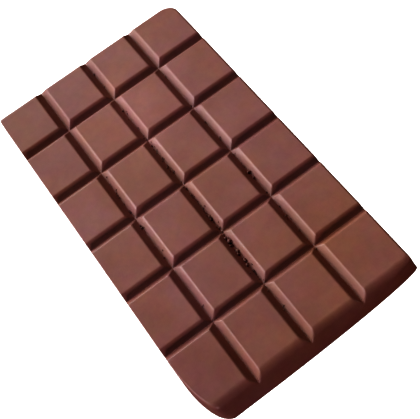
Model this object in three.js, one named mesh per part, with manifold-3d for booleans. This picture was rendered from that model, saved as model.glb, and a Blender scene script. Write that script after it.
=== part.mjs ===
// A moulded chocolate bar of 24 squares, four across and six along, as one solid.
//
// The bar lies on its flat back. +Z is up, +Y runs along the bar towards its far end and +X across it.
// The origin is the middle of the back's outline. All lengths are in millimetres.
//
// The slab tapers upwards, as it must to leave its mould, and V-shaped grooves cut its top into squares.
import * as THREE from "three";
import { mergeVertices } from "three/addons/utils/BufferGeometryUtils.js";
import Module from "manifold-3d";

// Driving dimensions
const squares = { across: 4, along: 6 };
const pitch = { across: 19.2, along: 22.2 }; // from one groove's middle to the next
const thickness = 8.1;

// Each side: from the outermost groove's middle to the slab's top edge, how far the back reaches out
// past that edge, and the radius of the fillet along it
const sides = {
  left: { border: 17.7, flare: 0.2, fillet: 0.2 },
  right: { border: 19.1, flare: 1.6, fillet: 0.9 },
  near: { border: 22.0, flare: 3.9, fillet: 3.0 },
  far: { border: 19.6, flare: 4.8, fillet: 1.5 },
};

// Each corner's quarter ellipse, as its extent in x and in y, at the top edge and at the back
const corners = {
  farRight: { top: [5.2, 4.2], back: [5.7, 6.5] },
  farLeft: { top: [1.2, 1.2], back: [2.2, 3.2] },
  nearLeft: { top: [4.0, 20.0], back: [7.2, 17.2] },
  nearRight: { top: [1.5, 1.5], back: [60.0, 2.9] },
};

// V grooves: half the width of each, to where its flat walls would meet the top, and the depth of their meeting line
const groove = { lengthwise: 2.3, crosswise: 1.95, depth: 2.4, shoulderRadius: 1.0, rootRadius: 0.25 };

const cornerSteps = 8; // straight pieces in a corner's quarter turn
const filletSteps = 4; // straight pieces in a fillet
const cutterMargin = 1; // how far a groove cutter reaches past the slab

// From the middle of the square grid to each top edge
const reach = {
  left: (squares.across / 2 - 1) * pitch.across + sides.left.border,
  right: (squares.across / 2 - 1) * pitch.across + sides.right.border,
  near: (squares.along / 2 - 1) * pitch.along + sides.near.border,
  far: (squares.along / 2 - 1) * pitch.along + sides.far.border,
};

// The borders differ, so the grid lies off the middle of the outline
const gridMiddle = {
  x: (reach.left + sides.left.flare - reach.right - sides.right.flare) / 2,
  y: (reach.near + sides.near.flare - reach.far - sides.far.flare) / 2,
};

// How far a side stands out from its top edge at height z. Its fillet ends inside that edge.
function standOut(z, { flare, fillet }) {
  const lean = Math.atan2(flare, thickness); // from the vertical
  const arcMiddle = thickness - fillet;
  const arcStart = arcMiddle + fillet * Math.sin(lean);
  const wallAt = (height) => (thickness - height) * Math.tan(lean);
  if (z <= arcStart) return wallAt(z);
  const arcCentre = wallAt(arcStart) - fillet * Math.cos(lean);
  return arcCentre + Math.sqrt(Math.max(0, fillet ** 2 - (z - arcMiddle) ** 2));
}

// The slab's outline at height z: four quarter ellipses joined by straight sides, anticlockwise.
function outlineAt(z) {
  const reachAt = (side) => reach[side] + standOut(z, sides[side]);
  const turns = [
    ["farRight", reachAt("right"), reachAt("far")],
    ["farLeft", -reachAt("left"), reachAt("far")],
    ["nearLeft", -reachAt("left"), -reachAt("near")],
    ["nearRight", reachAt("right"), -reachAt("near")],
  ];
  return turns.flatMap(([name, x, y], turn) => {
    const { top, back } = corners[name];
    const [extentX, extentY] = top.map((extent, i) => THREE.MathUtils.lerp(back[i], extent, z / thickness));
    return Array.from({ length: cornerSteps + 1 }, (_, step) => {
      const angle = (turn + step / cornerSteps) * (Math.PI / 2);
      return new THREE.Vector3(
        gridMiddle.x + x + extentX * (Math.cos(angle) - Math.sign(x)),
        gridMiddle.y + y + extentY * (Math.sin(angle) - Math.sign(y)),
        z,
      );
    });
  });
}

// Heights of the outlines: the back, then the levels through which the fillets turn.
function outlineHeights() {
  const heights = Object.values(sides).flatMap(({ flare, fillet }) => {
    const lean = Math.atan2(flare, thickness);
    return Array.from({ length: filletSteps + 1 }, (_, step) => {
      const angle = THREE.MathUtils.lerp(lean, Math.PI / 2, step / filletSteps);
      return thickness - fillet + fillet * Math.sin(angle);
    });
  });
  return [0, ...heights].sort((a, b) => a - b).filter((z, i, all) => i === 0 || z - all[i - 1] > 0.01);
}

// A closed skin through rings of equally many points, with a fan over each end.
function loft(rings) {
  const count = rings[0].length;
  const points = rings.flat();
  const faces = [];
  for (let ring = 0; ring + 1 < rings.length; ring++) {
    for (let i = 0; i < count; i++) {
      const a = ring * count + i;
      const b = ring * count + ((i + 1) % count);
      faces.push(a, b, b + count, a, b + count, a + count);
    }
  }
  const fan = (first, centreZ, upwards) => {
    const centre = points.push(new THREE.Vector3(gridMiddle.x, gridMiddle.y, centreZ)) - 1;
    for (let i = 0; i < count; i++) {
      const a = first + i;
      const b = first + ((i + 1) % count);
      faces.push(centre, upwards ? a : b, upwards ? b : a);
    }
  };
  fan(0, rings[0][0].z, false);
  fan((rings.length - 1) * count, rings.at(-1)[0].z, true);
  const geometry = new THREE.BufferGeometry().setFromPoints(points);
  geometry.setIndex(faces);
  return geometry;
}

// The section that a groove's cutter has, with its shoulders at y = 0 and its tip at -depth.
function grooveSection(halfWidth) {
  const { depth, shoulderRadius, rootRadius } = groove;
  const slope = Math.atan2(depth, halfWidth); // of the wall, from the horizontal
  const shoulderX = halfWidth + shoulderRadius * Math.tan(slope / 2);
  const rootY = -depth + rootRadius / Math.cos(slope);
  const quarter = Math.PI / 2;
  const section = new THREE.Shape();
  section.moveTo(shoulderX, cutterMargin);
  section.lineTo(-shoulderX, cutterMargin);
  section.absarc(-shoulderX, -shoulderRadius, shoulderRadius, quarter, quarter - slope, true);
  section.absarc(0, rootY, rootRadius, -quarter - slope, -quarter + slope, false);
  section.absarc(shoulderX, -shoulderRadius, shoulderRadius, quarter + slope, quarter, true);
  section.closePath();
  return section;
}

// One groove's cutter, standing along Y through the middle of the grid, at the height of the top.
function grooveCutter(halfWidth, length) {
  return new THREE.ExtrudeGeometry(grooveSection(halfWidth), {
    depth: length,
    bevelEnabled: false,
    curveSegments: filletSteps,
  })
    .translate(0, 0, -length / 2)
    .rotateX(Math.PI / 2)
    .translate(gridMiddle.x, gridMiddle.y, thickness);
}

function grooveCutters() {
  const cutters = [];
  const longest = 2 * (reach.near + sides.near.flare + cutterMargin);
  for (let i = 1; i < squares.across; i++) {
    const x = (i - squares.across / 2) * pitch.across;
    cutters.push(grooveCutter(groove.lengthwise, longest).translate(x, 0, 0));
  }
  for (let i = 1; i < squares.along; i++) {
    const y = (i - squares.along / 2) * pitch.along;
    const turned = grooveCutter(groove.crosswise, longest)
      .translate(-gridMiddle.x, -gridMiddle.y, 0)
      .rotateZ(Math.PI / 2);
    cutters.push(turned.translate(gridMiddle.x, gridMiddle.y + y, 0));
  }
  return cutters;
}

const wasm = await Module();
wasm.setup();

function toSolid(geometry) {
  const bare = geometry.clone();
  bare.deleteAttribute("normal");
  bare.deleteAttribute("uv");
  const merged = mergeVertices(bare, 1e-5);
  return new wasm.Manifold(
    new wasm.Mesh({
      numProp: 3,
      vertProperties: new Float32Array(merged.attributes.position.array),
      triVerts: new Uint32Array(merged.index.array),
    }),
  );
}

function toGeometry(solid) {
  const mesh = solid.getMesh();
  const geometry = new THREE.BufferGeometry();
  geometry.setAttribute("position", new THREE.BufferAttribute(mesh.vertProperties, 3));
  geometry.setIndex(new THREE.BufferAttribute(mesh.triVerts, 1));
  geometry.computeVertexNormals();
  return geometry;
}

function buildBar() {
  const slab = toSolid(loft(outlineHeights().map(outlineAt)));
  const grooves = grooveCutters()
    .map(toSolid)
    .reduce((all, cutter) => all.add(cutter));
  const chocolate = new THREE.MeshStandardMaterial({ color: 0x7a4a3c, roughness: 0.42, metalness: 0 });
  const bar = new THREE.Mesh(toGeometry(slab.subtract(grooves)), chocolate);
  bar.name = "chocolate_bar";
  return bar;
}

const part = new THREE.Group();
part.add(buildBar());

export default part;
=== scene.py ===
# A milk chocolate bar of 24 squares, four across and six along, lying on its flat back.
# Shapes are worked out in millimetres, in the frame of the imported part, and set in metres at the end.
import math

import bmesh
import bpy
import numpy as np
from mathutils import Euler, Matrix, Vector


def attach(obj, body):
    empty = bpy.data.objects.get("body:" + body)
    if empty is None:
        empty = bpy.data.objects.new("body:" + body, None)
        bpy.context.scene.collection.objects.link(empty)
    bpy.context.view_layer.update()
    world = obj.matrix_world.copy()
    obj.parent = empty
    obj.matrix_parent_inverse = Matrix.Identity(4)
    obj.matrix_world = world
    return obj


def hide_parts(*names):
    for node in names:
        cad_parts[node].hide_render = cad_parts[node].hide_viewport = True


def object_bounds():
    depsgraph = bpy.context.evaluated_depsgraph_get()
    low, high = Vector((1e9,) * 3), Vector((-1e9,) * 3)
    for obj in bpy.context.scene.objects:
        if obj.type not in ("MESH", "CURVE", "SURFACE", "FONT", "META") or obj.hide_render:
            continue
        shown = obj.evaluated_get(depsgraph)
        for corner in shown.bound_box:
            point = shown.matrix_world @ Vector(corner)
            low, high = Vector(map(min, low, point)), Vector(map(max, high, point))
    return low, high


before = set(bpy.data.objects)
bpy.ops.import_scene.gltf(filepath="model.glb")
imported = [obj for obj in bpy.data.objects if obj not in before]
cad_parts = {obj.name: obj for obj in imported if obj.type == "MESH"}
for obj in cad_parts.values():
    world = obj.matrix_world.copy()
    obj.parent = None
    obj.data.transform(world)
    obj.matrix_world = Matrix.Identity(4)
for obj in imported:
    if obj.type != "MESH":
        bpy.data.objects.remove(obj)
cadLow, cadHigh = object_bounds()
mm = 0.001
scene = bpy.context.scene


# Camera: high above the near end, and rolled so that the bar runs up to the left

camera = dict(
    aim=(-0.085, -13.53, 8.1),  # mm, on the plane of the top faces
    distance=260.7,             # mm from there
    azimuth=-13.851,            # degrees; 0 looks along +Y
    elevation=61.838,
    roll=-23.683,
    lens=70.59,                 # mm
    film=36,                    # mm, the width of the picture on it
    clip=(0.01, 20),            # metres
)


def makeCamera():
    azimuth, elevation, roll = (math.radians(camera[angle]) for angle in ("azimuth", "elevation", "roll"))
    flat = math.cos(elevation)
    back = Vector((math.sin(azimuth) * flat, -math.cos(azimuth) * flat, math.sin(elevation)))
    level = Vector((math.cos(azimuth), math.sin(azimuth), 0))
    above = back.cross(level)
    right = level * math.cos(roll) + above * math.sin(roll)
    up = above * math.cos(roll) - level * math.sin(roll)
    place = (Vector(camera["aim"]) + back * camera["distance"]) * mm
    data = bpy.data.cameras.new("camera")
    data.sensor_width = camera["film"]
    data.lens = camera["lens"]
    data.clip_start, data.clip_end = camera["clip"]
    made = bpy.data.objects.new("camera", data)
    made.matrix_world = Matrix.Translation(place) @ Matrix((right, up, back)).transposed().to_4x4()
    scene.collection.objects.link(made)
    scene.camera = made


makeCamera()
print("camera: ready")


# Shader maths: a socket with the operators that the materials use

class Wire:
    def __init__(self, tree, socket=None):
        self.tree = tree
        self.socket = socket

    def node(self, kind, settings=None, sockets=None, output=0):  # any node: its settings come first
        made = self.tree.nodes.new(kind)
        for name, value in (settings or {}).items():
            setattr(made, name, value)
        for name, value in (sockets or {}).items():
            if isinstance(value, Wire):
                self.tree.links.new(value.socket, made.inputs[name])
            else:
                made.inputs[name].default_value = value
        return Wire(self.tree, made.outputs[output])

    def maths(self, operation, *terms):
        return self.node("ShaderNodeMath", {"operation": operation}, dict(enumerate(terms)))

    def __add__(self, other):
        return self.maths("ADD", self, other)

    def __sub__(self, other):
        return self.maths("SUBTRACT", self, other)

    def __rsub__(self, other):
        return self.maths("SUBTRACT", other, self)

    def __mul__(self, other):
        return self.maths("MULTIPLY", self, other)

    __radd__ = __add__
    __rmul__ = __mul__

    def smoothStep(self, start, end):  # 0 at start, 1 at end
        settings = {"interpolation_type": "SMOOTHSTEP"}
        return self.node("ShaderNodeMapRange", settings, {0: self, 1: start, 2: end, 3: 0.0, 4: 1.0})

    def tinted(self, colour, tint):  # colour times the tint, where self is the share of it
        settings = {"data_type": "RGBA", "blend_type": "MULTIPLY"}
        return self.node("ShaderNodeMix", settings, {0: self, 6: colour, 7: tint}, output=2)


# Stage: a pale floor with a light of its own, and soft lights for the bar: cool ones from the left and from
# behind, warm ones from above and from just over the floor

stage = dict(
    colour=(0.93, 0.925, 0.915, 1),  # of the floor, and of the sky behind it
    width=6.0,                       # of the floor, in metres
    roughness=0.75,
    specular=0.1,
    gap=0.00002,                     # metres from the floor up to the bar's back
    floorLight=5.4,                  # watts to the square metre
    floorLightSpread=75,             # degrees across, so that the shadow stays soft
    lightDistance=1.0,               # metres from the bar to each of its lights
)

lights = dict(  # degrees clockwise from +Y and up from the floor, size in metres, watts
    key=dict(azimuth=-60, elevation=30, size=(0.35, 0.35), power=5.5, colour=(0.91, 0.97, 1.0)),
    far=dict(azimuth=-30, elevation=18, size=(0.35, 0.3), power=3.95, colour=(0.83, 0.98, 1.0)),
    low=dict(azimuth=-10, elevation=18, size=(0.35, 0.3), power=3.4, colour=(0.76, 0.96, 1.0)),
    skim=dict(azimuth=-60, elevation=8, size=(0.3, 0.2), power=2.4, colour=(1.0, 0.92, 0.90)),
    left=dict(azimuth=-90, elevation=42, size=(0.4, 0.4), power=3.75, colour=(0.70, 0.86, 1.0)),
    near=dict(azimuth=-155, elevation=8, size=(0.3, 0.2), power=3.15, colour=(1.0, 0.71, 0.73)),
    back=dict(azimuth=0, elevation=42, size=(0.4, 0.4), power=1.25, colour=(0.92, 1.0, 0.96)),
    above=dict(azimuth=30, elevation=60, size=(0.5, 0.5), power=2.25, colour=(1.0, 0.69, 0.58)),
    right=dict(azimuth=100, elevation=3, size=(0.3, 0.1), power=1.5, colour=(1.0, 0.92, 0.85)),
)

litBar = bpy.data.collections.new("lit by the studio lights")
litFloor = bpy.data.collections.new("lit from above")


def makeFloor():
    half = stage["width"] / 2
    corners = [(-half, -half, 0), (half, -half, 0), (half, half, 0), (-half, half, 0)]
    mesh = bpy.data.meshes.new("floor")
    mesh.from_pydata(corners, [], [(0, 1, 2, 3)])
    material = bpy.data.materials.new("pale floor")
    material.use_nodes = True
    shader = material.node_tree.nodes["Principled BSDF"]
    shader.inputs["Base Color"].default_value = stage["colour"]
    shader.inputs["Roughness"].default_value = stage["roughness"]
    shader.inputs["Specular IOR Level"].default_value = stage["specular"]
    mesh.materials.append(material)
    made = bpy.data.objects.new("floor", mesh)
    made.location.z = -stage["gap"]
    made.visible_diffuse = False  # a white floor would wash out the bar's dark sides
    made.visible_glossy = False
    scene.collection.objects.link(made)
    litFloor.objects.link(made)


def makeFloorLight():  # even and soft, from straight above, and for the floor alone
    data = bpy.data.lights.new("floor light", "SUN")
    data.energy = stage["floorLight"]
    data.angle = math.radians(stage["floorLightSpread"])
    made = bpy.data.objects.new("floor light", data)
    made.light_linking.receiver_collection = litFloor
    scene.collection.objects.link(made)


def makeLight(name, azimuth, elevation, size, power, colour):  # for the bar alone
    turn, rise = math.radians(azimuth), math.radians(elevation)
    direction = Vector((math.sin(turn) * math.cos(rise), math.cos(turn) * math.cos(rise), math.sin(rise)))
    data = bpy.data.lights.new(name, "AREA")
    data.shape = "RECTANGLE"
    data.size, data.size_y = size
    data.energy = power
    data.color = colour
    made = bpy.data.objects.new(name, data)
    made.location = direction * stage["lightDistance"]
    made.rotation_mode = "QUATERNION"
    made.rotation_quaternion = direction.to_track_quat("Z", "Y")
    made.light_linking.receiver_collection = litBar
    scene.collection.objects.link(made)


def makeSky():  # only the camera sees it, and it lights nothing
    world = bpy.data.worlds.new("sky")
    world.use_nodes = True
    seen = Wire(world.node_tree).node("ShaderNodeLightPath", output="Is Camera Ray")
    background = world.node_tree.nodes["Background"]
    background.inputs["Color"].default_value = stage["colour"]
    world.node_tree.links.new(seen.socket, background.inputs["Strength"])
    scene.world = world


makeFloor()
makeFloorLight()
for lightName, settings in lights.items():
    makeLight(lightName, **settings)
makeSky()
scene.view_settings.view_transform = "Standard"
scene.view_settings.look = "Very High Contrast"
print("stage: floor, sky and", len(lights) + 1, "lights")


# Chocolate: satin milk chocolate, a little uneven in colour and gloss, with broad patches of painted light
# and shade on its colour. A noise is given as its cells to the metre, its detail, its roughness and its
# distortion.

chocolate = dict(
    colour=(0.2035, 0.0981, 0.0812, 1),  # linear
    mottling=(                           # noise cells to the metre, and what they multiply the colour by
        (60, (0.975, 0.960, 0.820, 1)),
        (95, (0.905, 0.890, 0.920, 1)),
        (210, (1.030, 0.955, 0.950, 1)),
        (290, (1.000, 0.945, 1.060, 1)),
        (480, (0.955, 0.950, 0.955, 1)),
        (1500, (0.965, 0.965, 0.965, 1)),
    ),
    mottlingNoise=(2, 0.5, 0.3),         # the rest of that noise
    mottlingRange=(0.35, 0.65),          # noise at which the tint starts, and is full
    paintedLightAndShade=(                            # painted light and shade on parts of the top: middle, radii where it is full and where it ends (metres), tint
        ((0.024, -0.058, 0.008), 0.010, 0.042, (1.02, 1.00, 0.86, 1)),
        ((-0.034, 0.062, 0.008), 0.005, 0.050, (0.86, 0.80, 0.76, 1)),
        ((-0.001, 0.034, 0.008), 0.006, 0.026, (1.13, 1.10, 1.07, 1)),
        ((-0.033, -0.060, 0.008), 0.005, 0.026, (0.93, 0.90, 0.88, 1)),
    ),
    gloss=0.55,                          # roughness of the moulded faces
    backGloss=0.62,                      # roughness of the poured back
    backFacing=(0.6, 0.9),               # how far down a face looks where that starts, and is full
    specular=0.21,
    ior=1.5,
    sheen=0.2,                           # a thin layer of cocoa butter that catches the light
    sheenGloss=0.28,
    smears=dict(noise=(210, 3, 0.6, 1.2), gloss=0.14),  # each with its share in the gloss and in the relief
    grain=dict(noise=(2600, 3, 0.6), gloss=0.08, height=0.25),
    ripples=dict(noise=(700, 3, 0.55), height=0.5),
    swells=dict(noise=(240, 2, 0.5), height=1.2),
    relief=0.00006,                      # metres, for a height of 1
    reliefStrength=0.35,
)


def chocolateMaterial(name, finish):
    material = bpy.data.materials.new(name)
    material.use_nodes = True
    tree = material.node_tree
    shader = tree.nodes["Principled BSDF"]
    wire = Wire(tree)
    place = wire.node("ShaderNodeTexCoord", output="Object")
    layerGap = 3.7  # between the mottling's layers in the noise's fourth dimension

    def noise(scale, detail, roughness, distortion=0.0, layer=0.0):
        sockets = {
            "Vector": place,
            "W": layer,
            "Scale": scale,
            "Detail": detail,
            "Roughness": roughness,
            "Distortion": distortion,
        }
        return wire.node("ShaderNodeTexNoise", {"noise_dimensions": "4D"}, sockets)

    colour = finish["colour"]
    for layer, (scale, tint) in enumerate(finish["mottling"]):
        cloud = noise(scale, *finish["mottlingNoise"], layer * layerGap)
        colour = cloud.smoothStep(*finish["mottlingRange"]).tinted(colour, tint)
    # painted light and shade: broad patches that make parts of the colour lighter, darker or yellower
    for middle, full, end, tint in finish["paintedLightAndShade"]:
        sockets = {0: place, 1: middle}
        away = wire.node("ShaderNodeVectorMath", {"operation": "DISTANCE"}, sockets, output="Value")
        colour = away.smoothStep(end, full).tinted(colour, tint)
    tree.links.new(colour.socket, shader.inputs["Base Color"])

    normal = wire.node("ShaderNodeNewGeometry", output="Normal")
    facingUp = wire.node("ShaderNodeSeparateXYZ", sockets={0: normal}, output="Z")
    back = (facingUp * -1).smoothStep(*finish["backFacing"])
    grain = noise(*finish["grain"]["noise"])
    smears = noise(*finish["smears"]["noise"])
    satin = back * (finish["backGloss"] - finish["gloss"]) + finish["gloss"]
    smeared = satin + (smears - 0.5) * finish["smears"]["gloss"]
    roughness = smeared + (grain - 0.5) * finish["grain"]["gloss"]
    tree.links.new(roughness.socket, shader.inputs["Roughness"])

    height = grain * finish["grain"]["height"]
    for waves in (finish["ripples"], finish["swells"]):
        height = height + noise(*waves["noise"]) * waves["height"]
    sockets = {"Height": height, "Strength": finish["reliefStrength"], "Distance": finish["relief"]}
    bump = wire.node("ShaderNodeBump", sockets=sockets)
    tree.links.new(bump.socket, shader.inputs["Normal"])

    shader.inputs["IOR"].default_value = finish["ior"]
    shader.inputs["Specular IOR Level"].default_value = finish["specular"]
    shader.inputs["Coat Weight"].default_value = finish["sheen"]
    shader.inputs["Coat Roughness"].default_value = finish["sheenGloss"]
    return material


chocolateFinish = chocolateMaterial("milk chocolate", chocolate)
print("material:", chocolateFinish.name)


# The bar, as one closed mesh: a grid over the top face, rings down the sides, and a grid over the back

bar = dict(
    squares=(4, 6),        # across, along
    pitch=(19.2, 22.2),    # mm between groove middles, across and along
    thickness=cadHigh.z / mm,
    sides=dict(            # outermost groove to top edge, how far the back reaches past that, the fillet
        left=dict(border=17.7, flare=0.2, fillet=0.2),
        right=dict(border=19.1, flare=1.6, fillet=0.9),
        near=dict(border=22.0, flare=3.9, fillet=3.0),
        far=dict(border=19.6, flare=4.8, fillet=1.5),
    ),
    corners=dict(          # extents of each corner's quarter ellipse, at the top edge and at the back
        leftNear=dict(top=(4.0, 20.0), back=(7.2, 17.2)),
        rightNear=dict(top=(1.5, 1.5), back=(60.0, 2.9)),
        leftFar=dict(top=(1.2, 1.2), back=(2.2, 3.2)),
        rightFar=dict(top=(5.2, 4.2), back=(5.7, 6.5)),
    ),
    grooves=dict(halfWidth=(2.3, 1.95), depth=2.4, shoulder=1.0, root=0.25),
    backEdge=0.3,          # radius round the back's edge
    ridgeRounding=0.5,     # how far the squares' corner ridges are softened
    rimBlend=0.35,         # the same where the grooves run out through the sides
    topSway=dict(depth=0.018, waves=(9, 22), seed=3, rim=3),  # mm from flat, wave lengths, and the flat rim
    backSway=dict(depth=0.07, ripple=0.05, waves=(12, 40), seed=11, rim=5),
)

barMesh = dict(
    lineGap=1.3,           # widest cell on the flat faces
    edgeLines=(0.12, 0.27, 0.45, 0.66, 0.92, 1.22, 1.6, 2.1, 2.8, 3.7, 4.8, 6.0),  # from a top edge
    grooveWallLines=5,     # up each wall of a groove
    shoulderLines=7,       # round each shoulder of a groove
    pastShoulder=0.35,     # from a shoulder's end to one more line
    grooveStrip=3.2,       # from the outermost grooves' middles out to where the lines follow the sides
    filletRings=8,
    wallRings=8,
    wallBias=0.8,          # below 1 draws the wall's rings together near the back
    backEdgeRings=3,
)

sidesOf = (("left", "right"), ("near", "far"))  # the low and the high side, across and along


def outermostGroove(axis):  # from the middle of the grid of squares
    return (bar["squares"][axis] / 2 - 1) * bar["pitch"][axis]


def sideReach(side):  # from the middle of the grid of squares to a top edge
    axis = 0 if side in sidesOf[0] else 1
    return outermostGroove(axis) + bar["sides"][side]["border"]


reach = {side: sideReach(side) for side in bar["sides"]}
flare = {side: bar["sides"][side]["flare"] for side in bar["sides"]}
gridMiddle = (  # the borders differ, so the squares lie off the middle of the outline
    (reach["left"] + flare["left"] - reach["right"] - flare["right"]) / 2,
    (reach["near"] + flare["near"] - reach["far"] - flare["far"]) / 2,
)


def sideProfile(side):  # heights, and how far out from the top edge, from the top down to the back
    thickness, fillet, edge = bar["thickness"], bar["sides"][side]["fillet"], bar["backEdge"]
    lean = math.atan2(flare[side], thickness)
    arcStart = thickness - fillet + fillet * math.sin(lean)
    arcCentre = (thickness - arcStart) * math.tan(lean) - fillet * math.cos(lean)
    turns = np.linspace(math.pi / 2, lean, barMesh["filletRings"] + 1)
    heights = list(thickness - fillet + fillet * np.sin(turns))
    outs = list(arcCentre + fillet * np.cos(turns))
    for share in np.linspace(0, 1, barMesh["wallRings"] + 1)[1:]:
        height = arcStart + (edge - arcStart) * share ** barMesh["wallBias"]
        heights.append(height)
        outs.append((thickness - height) * math.tan(lean))
    for turn in np.linspace(0, math.pi / 2, barMesh["backEdgeRings"] + 1)[1:]:
        heights.append(edge * (1 - math.sin(turn)))
        outs.append((thickness - edge) * math.tan(lean) - edge * (1 - math.cos(turn)))
    return np.array(heights), np.array(outs)


profiles = {side: sideProfile(side) for side in bar["sides"]}
lastLevel = len(profiles["left"][0]) - 1


def halvesAt(level):  # from the middle of the grid of squares to each side of the outline at this level
    return {side: reach[side] + profiles[side][1][level] for side in profiles}


def grooveSlope(halfWidth):
    return math.atan2(bar["grooves"]["depth"], halfWidth)


def grooveDepth(offset, halfWidth):  # depth of one V groove at this distance from its middle
    depth, shoulder, root = (bar["grooves"][part] for part in ("depth", "shoulder", "root"))
    slope = grooveSlope(halfWidth)
    distance = np.abs(offset)
    top = halfWidth + shoulder * math.tan(slope / 2)
    wall = depth * (1 - distance / halfWidth)
    inArc = np.clip(top - distance, 0, shoulder)
    arc = shoulder - np.sqrt(shoulder ** 2 - inArc ** 2)
    bottom = depth - root / math.cos(slope) + np.sqrt(np.clip(root ** 2 - distance ** 2, 0, None))
    cut = np.where(distance > top - shoulder * math.sin(slope), arc, wall)
    cut = np.where(distance > top, 0, cut)
    return np.where(distance < root * math.sin(slope), bottom, cut)


def fromGroove(position, axis):  # signed distance to the nearest groove's middle
    pitch, outermost = bar["pitch"][axis], bar["squares"][axis] / 2 - 1
    shift = 0 if bar["squares"][axis] % 2 == 0 else 0.5
    nearest = np.clip(np.round(position / pitch - shift) + shift, -outermost, outermost)
    return position - nearest * pitch


def softMax(a, b, blend):  # the larger of two depths, with the step between them rounded off
    blend = np.maximum(blend, 1e-6)
    near = np.clip(1 - np.abs(a - b) / blend, 0, 1)
    return np.maximum(a, b) + near ** 2 * blend / 4


def grooveField(x, y):  # depth of all the grooves together
    across = grooveDepth(fromGroove(x, 0), bar["grooves"]["halfWidth"][0])
    along = grooveDepth(fromGroove(y, 1), bar["grooves"]["halfWidth"][1])
    deeper = np.maximum(across, along)
    blend = np.minimum(bar["ridgeRounding"], deeper * 2) * (1 - deeper / bar["grooves"]["depth"])
    return softMax(across, along, blend)


def carve(x, y, height):  # cuts the grooves into the slab
    depth = bar["thickness"] - height
    groove = grooveField(x, y)
    blend = np.minimum(bar["rimBlend"], np.minimum(groove, depth) * 2)
    return bar["thickness"] - softMax(depth, groove, blend)


def sway(x, y, seed, waves):  # gentle waves in all directions, from about -1 to 1
    random = np.random.default_rng(seed)
    total = np.zeros_like(x)
    count = 9
    for _ in range(count):
        wave, turn, phase = random.uniform(*waves), random.uniform(0, math.pi), random.uniform(0, 7)
        total += np.sin((x * math.cos(turn) + y * math.sin(turn)) * 2 * math.pi / wave + phase)
    return total / math.sqrt(count)


def insideRim(x, y, rim):  # 0 at the top edges, rising to 1 this far inside them
    gaps = [x + reach["left"], reach["right"] - x, y + reach["near"], reach["far"] - y]
    return np.clip(np.minimum.reduce(gaps) / rim, 0, 1)


def grooveLines(axis):  # mesh lines across one side of a groove, as distances from its middle
    halfWidth = bar["grooves"]["halfWidth"][axis]
    shoulder, root = bar["grooves"]["shoulder"], bar["grooves"]["root"]
    slope = grooveSlope(halfWidth)
    top = halfWidth + shoulder * math.tan(slope / 2)
    wallTop = top - shoulder * math.sin(slope)
    rootEdge = root * math.sin(slope)
    count = barMesh["shoulderLines"]
    wall = np.linspace(rootEdge, wallTop, barMesh["grooveWallLines"] + 1)[1:]
    arc = [top - shoulder * math.sin(slope * step / count) for step in reversed(range(count))]
    return [0, rootEdge / 2, rootEdge, *wall, *arc, top + barMesh["pastShoulder"]]


def meshLines(axis):  # close together at the grooves and edges, wide apart on the flat faces
    low, high = sidesOf[axis]
    start, end = -halvesAt(0)[low], halvesAt(0)[high]
    marks = {start, end}
    marks |= {start + gap for gap in barMesh["edgeLines"]} | {end - gap for gap in barMesh["edgeLines"]}
    count, pitch = bar["squares"][axis], bar["pitch"][axis]
    for groove in range(1, count):
        middle = (groove - count / 2) * pitch
        marks |= {middle + offset * sign for offset in grooveLines(axis) for sign in (-1, 1)}
    marks = sorted(marks)
    lines = [marks[0]]
    for mark in marks[1:]:
        before = lines[-1]
        steps = max(1, math.ceil((mark - before) / barMesh["lineGap"]))
        lines += [before + (mark - before) * step / steps for step in range(1, steps + 1)]
    return np.array(lines)


def stretched(values, axis, halves):  # beyond the outermost grooves, from the top's outline to another
    low, high = sidesOf[axis]
    inner = outermostGroove(axis) + barMesh["grooveStrip"]
    stretchLow, stretchHigh = ((halves[side] - inner) / (halvesAt(0)[side] - inner) for side in (low, high))
    outside = np.sign(values) * (np.abs(values) - inner)
    moved = np.sign(values) * inner + outside * np.where(values < 0, stretchLow, stretchHigh)
    return np.where(np.abs(values) > inner, moved, values)


def placeOnLevel(x, y, level):  # takes points of the top face's grid to the outline at one level
    heights = {side: profiles[side][0][level] for side in profiles}
    halves = halvesAt(level)
    x, y = stretched(x, 0, halves), stretched(y, 1, halves)
    onEnd = np.maximum(y - halves["far"], -halves["near"] - y) > -1e-6  # on the near or the far side
    endHeight = np.where(y > 0, heights["far"], heights["near"])
    height = np.where(onEnd, endHeight, np.where(x > 0, heights["right"], heights["left"]))
    for sideX, signX in (("left", -1), ("right", 1)):
        for sideY, signY in (("near", -1), ("far", 1)):
            corner = bar["corners"][sideX + sideY.capitalize()]
            rise = (heights[sideX] + heights[sideY]) / 2 / bar["thickness"]
            extentX, extentY = (b + (t - b) * rise for t, b in zip(corner["top"], corner["back"]))
            startX, startY = halves[sideX] - extentX, halves[sideY] - extentY
            a, b = (signX * x - startX) / extentX, (signY * y - startY) / extentY
            inside = (a > 0) & (b > 0)
            roundA = a * np.sqrt(np.clip(1 - b ** 2 / 2, 0, 1))
            roundB = b * np.sqrt(np.clip(1 - a ** 2 / 2, 0, 1))
            blended = heights[sideX] * roundA ** 2 + heights[sideY] * roundB ** 2
            height = np.where(inside, blended, height)
            x = np.where(inside, signX * (startX + roundA * extentX), x)
            y = np.where(inside, signY * (startY + roundB * extentY), y)
    return x, y, height


def newObject(name, points, faces, material):
    mesh = bpy.data.meshes.new(name)
    mesh.from_pydata([tuple(p) for p in points], [], faces)
    mesh.polygons.foreach_set("use_smooth", [True] * len(mesh.polygons))
    mesh.materials.append(material)
    mesh.update()
    made = bpy.data.objects.new(name, mesh)
    scene.collection.objects.link(made)
    litBar.objects.link(made)
    return made


def gridFaces(index, upwards):
    a, b, c, d = index[:-1, :-1], index[1:, :-1], index[1:, 1:], index[:-1, 1:]
    corners = (a, b, c, d) if upwards else (a, d, c, b)
    return np.stack(corners, axis=-1).reshape(-1, 4).tolist()


def ringFaces(ring, below):
    return np.stack((ring, below, np.roll(below, -1), np.roll(ring, -1)), axis=-1).tolist()


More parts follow.
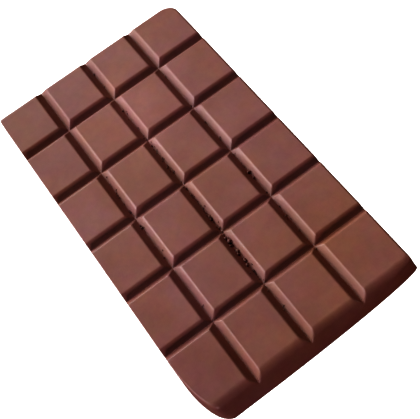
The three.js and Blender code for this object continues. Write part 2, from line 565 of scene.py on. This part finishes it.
def makeBar():
    gridX, gridY = np.meshgrid(meshLines(0), meshLines(1), indexing="ij")
    count = gridX.size
    index = np.arange(count).reshape(gridX.shape)

    # top faces with their grooves
    x, y, _ = placeOnLevel(gridX, gridY, 0)
    z = carve(x, y, np.full_like(x, bar["thickness"]))
    top = bar["topSway"]
    waves = np.maximum(1 + sway(x, y, top["seed"], top["waves"]), 0)
    z = z - top["depth"] * waves * insideRim(x, y, top["rim"])
    points = [np.stack((x, y, z), axis=-1).reshape(-1, 3)]
    faces = gridFaces(index, True)

    # sides: rings from the top edge down to just above the back
    loop = np.concatenate((index[:-1, 0], index[-1, :-1], index[:0:-1, -1], index[0, :0:-1]))
    loopX, loopY = gridX.ravel()[loop], gridY.ravel()[loop]
    ring = loop
    for level in range(1, lastLevel):
        x, y, height = placeOnLevel(loopX, loopY, level)
        points.append(np.stack((x, y, carve(x, y, height)), axis=-1))
        below = count + np.arange(len(loop))
        faces += ringFaces(ring, below)
        ring = below
        count += len(loop)

    # back: poured, so it dips and ripples a little inside its edge
    x, y, _ = placeOnLevel(gridX, gridY, lastLevel)
    back = bar["backSway"]
    dip = insideRim(x, y, back["rim"]) ** 2
    z = dip * (back["depth"] + back["ripple"] * sway(x, y, back["seed"], back["waves"]))
    points.append(np.stack((x, y, np.maximum(z, 0)), axis=-1).reshape(-1, 3))
    faces += ringFaces(ring, count + loop)
    faces += gridFaces(count + index, False)

    points = np.concatenate(points) + (*gridMiddle, 0)
    made = newObject("moulded_bar", points * mm, faces, chocolateFinish)
    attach(made, "root")
    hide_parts("chocolate_bar")
    print("bar:", len(points), "points,", sum(len(face) - 2 for face in faces), "triangles")


makeBar()


# Crumbs that lie in the grooves

crumbs = dict(
    lumps=(                # mm from the middle of the squares, across and along, and radius
        (-0.2, -4.8, 0.45),
        (0.0, -15.2, 0.55),
        (-0.3, -16.5, 0.4),
        (-0.5, -24.9, 0.5),
        (-0.1, -26.2, 0.65),
        (-0.6, -28.1, 0.45),
        (0.0, -30.6, 0.6),
        (-0.4, -31.8, 0.5),
        (-0.1, -34.6, 0.55),
        (-0.5, -36.4, 0.45),
        (0.1, -38.8, 0.4),
        (-19.3, -4.2, 0.45),
        (19.0, -10.4, 0.55),
        (19.2, -13.2, 0.45),
    ),
    fines=170,             # smaller ones along the lengthwise grooves, most of them in the middle one
    fineRadius=(0.12, 0.3),
    middleShare=0.6,
    across=0.35,           # mm, how they scatter about a groove's middle
    along=(-8, 24),        # mm, the middle and the spread of them all
    clearEnds=3,           # mm, so that none lies on an end's rounding
    lumpy=0.3,             # how far a crumb is from an egg, as a share of its radius
    waviness=1.7,          # how close together its lumps are
    stretch=(0.75, 1.15),  # least and most of each of its lengths, for a radius of 1
    sunk=0.8,              # how deep it is pressed in, as a share of its radius
    smooth=0.3,            # mm, radius above which it has a finer mesh
    seed=23,
)
crumbFinish = dict(chocolate, colour=(0.17, 0.093, 0.080, 1), gloss=0.8, specular=0.1, sheen=0.0)


def crumbShape(random, radius):  # a small irregular lump round the origin
    ball = bmesh.new()
    bmesh.ops.create_icosphere(ball, subdivisions=3 if radius > crumbs["smooth"] else 2, radius=1)
    points = np.array([vertex.co for vertex in ball.verts])
    faces = np.array([[vertex.index for vertex in face.verts] for face in ball.faces])
    ball.free()
    count = 5
    waves, phases = random.normal(0, crumbs["waviness"], (3, count)), random.uniform(0, 2 * math.pi, count)
    bumps = 1 + crumbs["lumpy"] * np.sin(points @ waves + phases).sum(axis=1) / math.sqrt(count)
    turn = np.array(Euler(random.uniform(0, 2 * math.pi, 3)).to_matrix())
    return (points * bumps[:, None] * random.uniform(*crumbs["stretch"], 3)) @ turn * radius, faces


def restingHeight(x, y, radius):  # height of a ball's middle where it lies on the bar at this place
    steps = np.linspace(-0.98, 0.98, 15) * radius  # just inside the ball's edge
    offX, offY = np.meshgrid(steps, steps)
    cap = np.sqrt(np.clip(radius ** 2 - offX ** 2 - offY ** 2, 0, None))
    surface = bar["thickness"] - grooveField(x + offX, y + offY)
    return float(np.where(cap > 0, surface + cap, 0).max())


def crumbPlaces(random):  # the lumps, then the fines
    places = list(crumbs["lumps"])
    for _ in range(crumbs["fines"]):
        column = 0 if random.random() < crumbs["middleShare"] else random.choice((-1, 1))
        x = column * bar["pitch"][0] + random.normal(0, crumbs["across"])
        y = random.normal(*crumbs["along"])
        radius = random.uniform(*crumbs["fineRadius"])
        if -reach["near"] + crumbs["clearEnds"] < y < reach["far"] - crumbs["clearEnds"]:
            places.append((x, y, radius))
    return places


def makeCrumbs():
    random = np.random.default_rng(crumbs["seed"])
    points, faces, count = [], [], 0
    for x, y, radius in crumbPlaces(random):
        shape, shapeFaces = crumbShape(random, radius)
        height = restingHeight(x, y, radius) - crumbs["sunk"] * radius
        points.append(shape + (x + gridMiddle[0], y + gridMiddle[1], height))
        faces += (shapeFaces + count).tolist()
        count += len(shape)
    finish = chocolateMaterial("chocolate crumbs", crumbFinish)
    made = newObject("crumbs", np.concatenate(points) * mm, faces, finish)
    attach(made, "root")
    print("crumbs:", len(faces), "triangles")


makeCrumbs()
